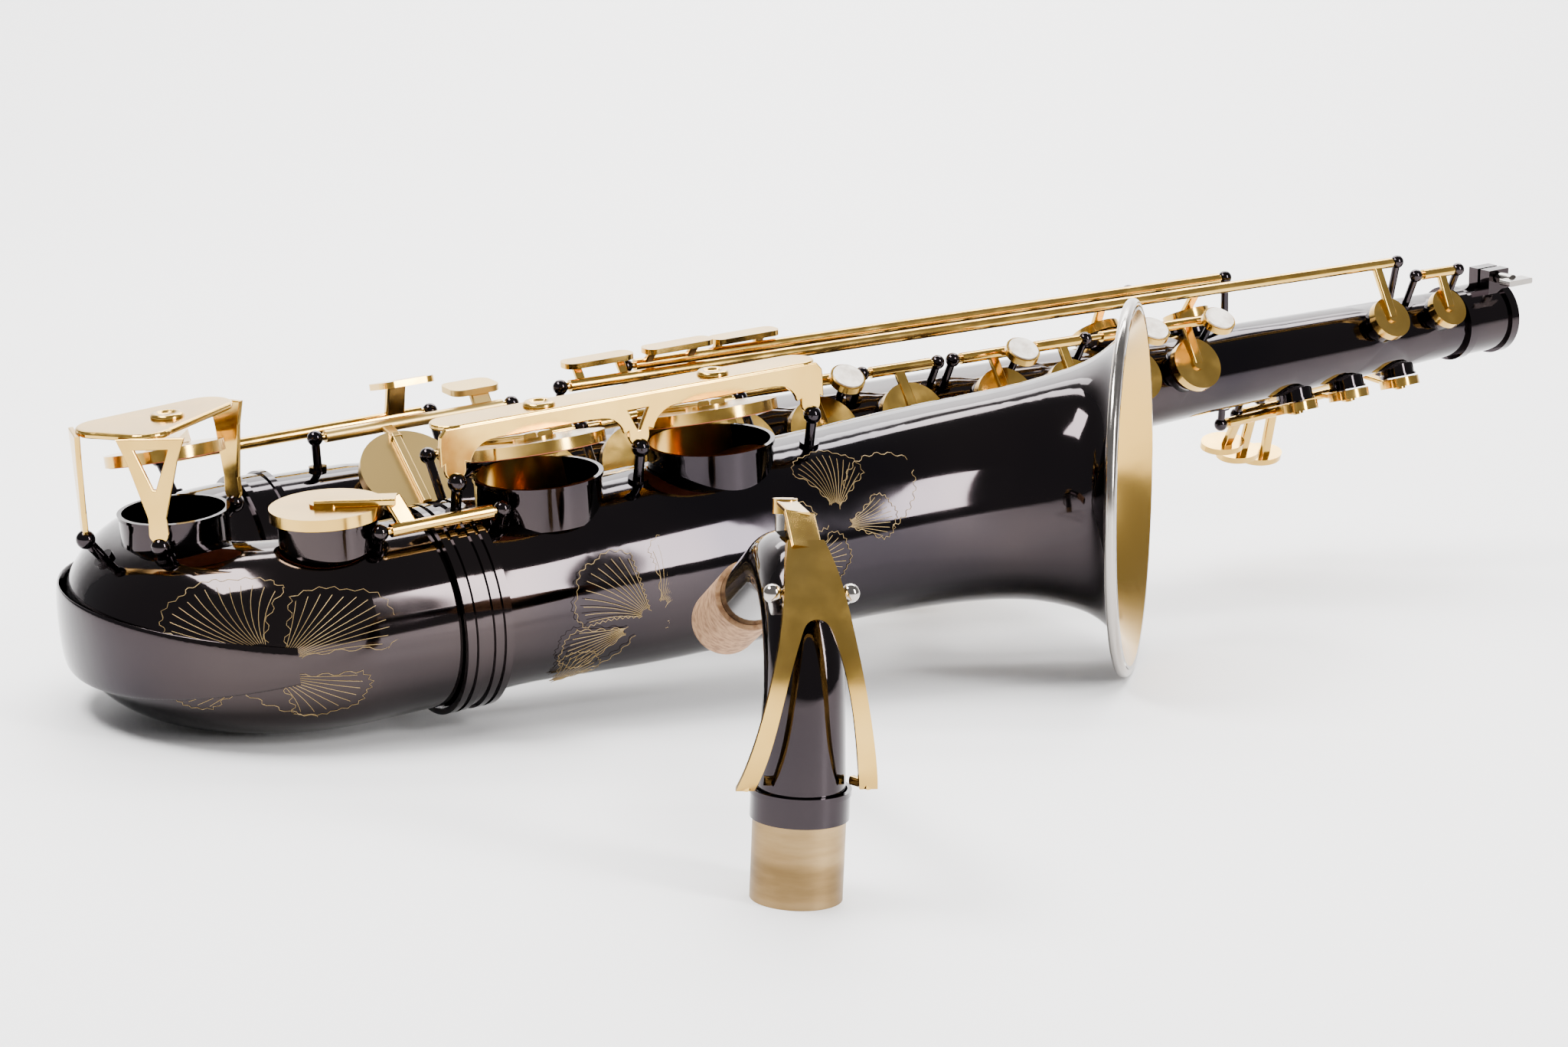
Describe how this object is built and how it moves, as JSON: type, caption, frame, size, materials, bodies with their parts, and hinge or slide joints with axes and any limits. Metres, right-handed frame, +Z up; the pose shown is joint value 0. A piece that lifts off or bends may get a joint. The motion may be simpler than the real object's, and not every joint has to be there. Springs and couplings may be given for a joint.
{
  "type": "alto saxophone",
  "caption": "Alto saxophone in black plate with gold keys, lying on its side, with its neck taken off and standing on its tenon in front.",
  "frame": {"origin": "middle of the bounding box, on the floor that the horn and its neck stand on", "axes": "+X runs level along the horn from the bow to the neck receiver, -Y is the side that the bell's front and the loose neck are on, +Z is up"},
  "size_m": [0.6454, 0.3602, 0.133],
  "materials": {
    "black_nickel": "polished black nickel plate on brass",
    "gold_lacquer": "polished gold lacquer on brass",
    "bare_brass": "brushed, tarnished bare brass",
    "silvery_nickel": "polished nickel plate on brass",
    "steel": "ground steel hinge rod",
    "cork": "natural cork sleeve",
    "pad_leather": "red-brown kid leather pad",
    "pearl": "mother-of-pearl disc",
    "gloss_black_plastic": "moulded thumb rest"
  },
  "bodies": {
    "horn": {"body_tube": "black_nickel", "bow": "black_nickel", "bell": "black_nickel", "bell_rim": "silvery_nickel", "bow_bell_ring": "black_nickel", "body_bow_ring": "black_nickel", "neck_receiver": "black_nickel", "hinge_rods": "steel", "bell_key_guard": "gold_lacquer", "low_c_guard": "gold_lacquer", "key_posts": "black_nickel", "bow_guard_plate": "black_nickel", "bell_brace": "black_nickel", "strap_ring": "black_nickel", "thumb_hook": "black_nickel", "thumb_rest": "gloss_black_plastic", "table_bracket": "gold_lacquer"},
    "clamp_screw": {"clamp_screw": "silvery_nickel"},
    "low_b": {"low_b_key": "gold_lacquer", "low_b_pad": "pad_leather"},
    "low_bb": {"low_bb_key": "gold_lacquer", "low_bb_pad": "pad_leather"},
    "low_c": {"low_c_key": "gold_lacquer", "low_c_pad": "pad_leather"},
    "low_eb": {"low_eb_key": "gold_lacquer"},
    "low_csharp": {"low_csharp_key": "gold_lacquer", "low_csharp_pad": "pad_leather"},
    "d": {"d_key": "gold_lacquer", "d_pearl": "pearl"},
    "e": {"e_key": "gold_lacquer", "e_pearl": "pearl"},
    "f": {"f_key": "gold_lacquer", "f_pearl": "pearl"},
    "g": {"g_key": "gold_lacquer"},
    "a": {"a_key": "gold_lacquer", "a_pearl": "pearl"},
    "bis": {"bis_key": "gold_lacquer"},
    "b": {"b_key": "gold_lacquer", "b_pearl": "pearl"},
    "c": {"c_key": "gold_lacquer", "c_pearl": "pearl"},
    "high_e": {"high_e_key": "gold_lacquer"},
    "side_c": {"side_c_key": "gold_lacquer"},
    "side_bb": {"side_bb_key": "gold_lacquer"},
    "high_fsharp": {"high_fsharp_key": "gold_lacquer"},
    "palm_d": {"palm_d_key": "gold_lacquer"},
    "palm_eb": {"palm_eb_key": "gold_lacquer"},
    "palm_f": {"palm_f_key": "gold_lacquer"},
    "gsharp": {"gsharp_key": "gold_lacquer"},
    "table_bb": {"table_bb_touch": "gold_lacquer"},
    "table_b": {"table_b_touch": "gold_lacquer"},
    "table_csharp": {"table_csharp_touch": "gold_lacquer"},
    "thumb": {"thumb_lever": "gold_lacquer"},
    "octave": {"octave_key": "gold_lacquer"},
    "neck": {"neck_tube": "black_nickel", "neck_tenon": "bare_brass", "neck_collar": "black_nickel", "neck_cork": "cork", "neck_fittings": "silvery_nickel"},
    "neck_octave": {"neck_octave_key": "gold_lacquer"}
  },
  "joints": [
    {"name": "clamp_screw_turn", "type": "hinge", "parent": "horn", "child": "clamp_screw", "pos_m": [0.30594, 0.12334, 0.12314], "axis": [0.0063, -0.9986, -0.052], "range_deg": [-180, 180]},
    {"name": "low_b_turn", "type": "hinge", "parent": "horn", "child": "low_b", "pos_m": [-0.20373, 0.06823, 0.08119], "axis": [0.9927, 0, 0.1208], "range_deg": [0, 12.8], "stiffness_Nm_per_rad": 0.06, "springref_deg": -17.19},
    {"name": "low_bb_turn", "type": "hinge", "parent": "horn", "child": "low_bb", "pos_m": [-0.14556, 0.06823, 0.08827], "axis": [0.9927, 0, 0.1208], "range_deg": [0, 12.8], "stiffness_Nm_per_rad": 0.06, "springref_deg": -17.19},
    {"name": "low_c_turn", "type": "hinge", "parent": "horn", "child": "low_c", "pos_m": [-0.26591, 0.14649, 0.07069], "axis": [0.9927, 0, 0.1208], "range_deg": [0, 12.8], "stiffness_Nm_per_rad": 0.06, "springref_deg": -17.19},
    {"name": "low_eb_turn", "type": "hinge", "parent": "horn", "child": "low_eb", "pos_m": [-0.2185, 0.12636, 0.07843], "axis": [0.9927, 0, 0.1208], "range_deg": [-12, 0], "stiffness_Nm_per_rad": 0.06, "springref_deg": 17.19},
    {"name": "low_csharp_turn", "type": "hinge", "parent": "horn", "child": "low_csharp", "pos_m": [-0.23918, 0.02422, 0.06628], "axis": [0.9927, 0, 0.1208], "range_deg": [0, 12], "stiffness_Nm_per_rad": 0.06, "springref_deg": -17.19},
    {"name": "d_turn", "type": "hinge", "parent": "horn", "child": "d", "pos_m": [-0.16633, 0.10857, 0.08019], "axis": [0.9953, 0.0013, 0.0964], "range_deg": [0, 7.8], "stiffness_Nm_per_rad": 0.06, "springref_deg": -17.19},
    {"name": "e_turn", "type": "hinge", "parent": "horn", "child": "e", "pos_m": [-0.12949, 0.10862, 0.08376], "axis": [0.9953, 0.0013, 0.0964], "range_deg": [0, 7.8], "stiffness_Nm_per_rad": 0.06, "springref_deg": -17.19},
    {"name": "f_turn", "type": "hinge", "parent": "horn", "child": "f", "pos_m": [-0.08967, 0.10867, 0.08762], "axis": [0.9953, 0.0013, 0.0964], "range_deg": [0, 7.8], "stiffness_Nm_per_rad": 0.06, "springref_deg": -17.19},
    {"name": "g_turn", "type": "hinge", "parent": "horn", "child": "g", "pos_m": [-0.013, 0.10877, 0.09505], "axis": [0.9953, 0.0013, 0.0964], "range_deg": [0, 7.8], "stiffness_Nm_per_rad": 0.06, "springref_deg": -17.19},
    {"name": "a_turn", "type": "hinge", "parent": "horn", "child": "a", "pos_m": [0.02682, 0.10882, 0.09891], "axis": [0.9953, 0.0013, 0.0964], "range_deg": [0, 7.8], "stiffness_Nm_per_rad": 0.06, "springref_deg": -17.19},
    {"name": "bis_turn", "type": "hinge", "parent": "horn", "child": "bis", "pos_m": [0.06067, 0.10886, 0.10218], "axis": [0.9953, 0.0013, 0.0964], "range_deg": [0, 7.8], "stiffness_Nm_per_rad": 0.06, "springref_deg": -17.19},
    {"name": "b_turn", "type": "hinge", "parent": "horn", "child": "b", "pos_m": [0.09154, 0.1089, 0.10518], "axis": [0.9953, 0.0013, 0.0964], "range_deg": [0, 7.8], "stiffness_Nm_per_rad": 0.06, "springref_deg": -17.19},
    {"name": "c_turn", "type": "hinge", "parent": "horn", "child": "c", "pos_m": [0.12141, 0.10894, 0.10807], "axis": [0.9953, 0.0013, 0.0964], "range_deg": [0, 7.8], "stiffness_Nm_per_rad": 0.06, "springref_deg": -17.19},
    {"name": "high_e_turn", "type": "hinge", "parent": "horn", "child": "high_e", "pos_m": [-0.13169, 0.11711, 0.09355], "axis": [0.9953, 0.0013, 0.0964], "range_deg": [-8, 0], "stiffness_Nm_per_rad": 0.06, "springref_deg": 17.19},
    {"name": "side_c_turn", "type": "hinge", "parent": "horn", "child": "side_c", "pos_m": [-0.10211, 0.12503, 0.09884], "axis": [0.9953, 0.0013, 0.0964], "range_deg": [0, 8], "stiffness_Nm_per_rad": 0.06, "springref_deg": -17.19},
    {"name": "side_bb_turn", "type": "hinge", "parent": "horn", "child": "side_bb", "pos_m": [-0.07006, 0.13316, 0.10036], "axis": [0.9953, 0.0013, 0.0964], "range_deg": [0, 8], "stiffness_Nm_per_rad": 0.06, "springref_deg": -17.19},
    {"name": "high_fsharp_turn", "type": "hinge", "parent": "horn", "child": "high_fsharp", "pos_m": [0.25935, 0.11393, 0.12521], "axis": [0.9953, 0.0013, 0.0964], "range_deg": [-8, 0], "stiffness_Nm_per_rad": 0.06, "springref_deg": 17.19},
    {"name": "palm_d_turn", "type": "hinge", "parent": "horn", "child": "palm_d", "pos_m": [0.17606, 0.13157, 0.06462], "axis": [0.9894, -0.0013, 0.1452], "range_deg": [0, 10], "stiffness_Nm_per_rad": 0.06, "springref_deg": -17.19},
    {"name": "palm_eb_turn", "type": "hinge", "parent": "horn", "child": "palm_eb", "pos_m": [0.18987, 0.13855, 0.06701], "axis": [0.9894, -0.0013, 0.1452], "range_deg": [0, 10], "stiffness_Nm_per_rad": 0.06, "springref_deg": -17.19},
    {"name": "palm_f_turn", "type": "hinge", "parent": "horn", "child": "palm_f", "pos_m": [0.2074, 0.14541, 0.07197], "axis": [0.9894, -0.0013, 0.1452], "range_deg": [0, 10], "stiffness_Nm_per_rad": 0.06, "springref_deg": -17.19},
    {"name": "gsharp_turn", "type": "hinge", "parent": "horn", "child": "gsharp", "pos_m": [-0.01979, 0.13288, 0.03492], "axis": [0.9894, -0.0013, 0.1452], "range_deg": [0, 10], "stiffness_Nm_per_rad": 0.06, "springref_deg": -17.19},
    {"name": "table_bb_turn", "type": "hinge", "parent": "horn", "child": "table_bb", "pos_m": [0.03928, 0.14368, 0.04619], "axis": [0.9894, -0.0013, 0.1452], "range_deg": [0, 8], "stiffness_Nm_per_rad": 0.06, "springref_deg": -17.19},
    {"name": "table_b_turn", "type": "hinge", "parent": "horn", "child": "table_b", "pos_m": [0.06205, 0.14366, 0.04953], "axis": [0.9894, -0.0013, 0.1452], "range_deg": [0, 8], "stiffness_Nm_per_rad": 0.06, "springref_deg": -17.19},
    {"name": "table_csharp_turn", "type": "hinge", "parent": "horn", "child": "table_csharp", "pos_m": [0.08283, 0.14363, 0.05258], "axis": [0.9894, -0.0013, 0.1452], "range_deg": [0, 8], "stiffness_Nm_per_rad": 0.06, "springref_deg": -17.19},
    {"name": "thumb_turn", "type": "hinge", "parent": "horn", "child": "thumb", "pos_m": [0.15221, 0.15185, 0.07849], "axis": [0.9925, -0.0245, 0.1195], "range_deg": [0, 6], "stiffness_Nm_per_rad": 0.06, "springref_deg": -17.19},
    {"name": "octave_turn", "type": "hinge", "parent": "horn", "child": "octave", "pos_m": [0.19842, 0.15004, 0.09613], "axis": [0.9925, -0.0245, 0.1195], "range_deg": [0, 6], "stiffness_Nm_per_rad": 0.06, "springref_deg": -17.19},
    {"name": "neck_lift", "type": "slide", "parent": "horn", "child": "neck", "axis": [0, 0, 1], "range_m": [0, 0.2]},
    {"name": "neck_octave_turn", "type": "hinge", "parent": "neck", "child": "neck_octave", "pos_m": [-0.20494, -0.1629, 0.0821], "axis": [-0.9397, 0.342, 0], "range_deg": [-3, 0], "stiffness_Nm_per_rad": 0.06, "springref_deg": 17.19}
  ],
  "couplings": [
    {"joint": "table_b_turn", "follows": "low_b_turn", "ratio": 0.6},
    {"joint": "table_bb_turn", "follows": "low_bb_turn", "ratio": 0.6},
    {"joint": "table_csharp_turn", "follows": "low_csharp_turn", "ratio": 0.6},
    {"joint": "thumb_turn", "follows": "octave_turn", "ratio": 1}
  ]
}
